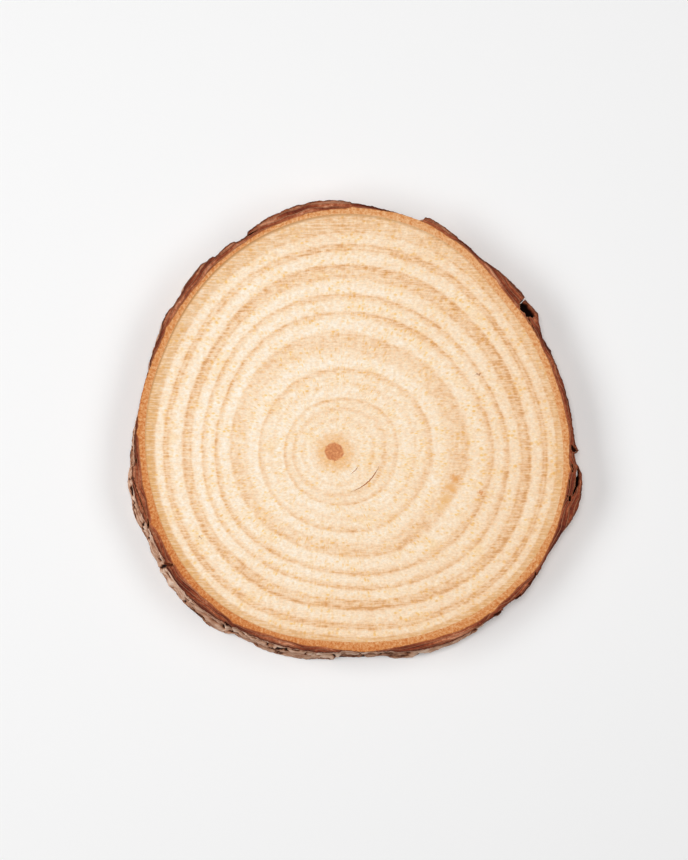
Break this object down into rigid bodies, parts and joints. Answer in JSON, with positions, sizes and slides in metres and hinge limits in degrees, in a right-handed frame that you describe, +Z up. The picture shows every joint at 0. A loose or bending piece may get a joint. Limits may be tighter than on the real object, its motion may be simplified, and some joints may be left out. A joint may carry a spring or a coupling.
{
  "type": "wood slice",
  "caption": "Thin slice sawn across a young log: a pale disc of wood with growth rings round an off-centre pith, inside a ring of scaly brown bark, for use as a coaster, base or craft blank.",
  "frame": {"origin": "middle of the slice's box on its sawn underside", "axes": "+Z up through the thickness, out of the sawn top face; +X to the right and +Y to the top of the picture"},
  "size_m": [0.1096, 0.1112, 0.01],
  "materials": {
    "wood": "bare sawn and sanded softwood, pale cream with tan growth rings",
    "bark": "dry scaly bark, red-brown where cut, grey-brown outside, orange next to the wood"
  },
  "bodies": {
    "root": {"wood": "wood", "bark": "bark"}
  },
  "joints": []
}
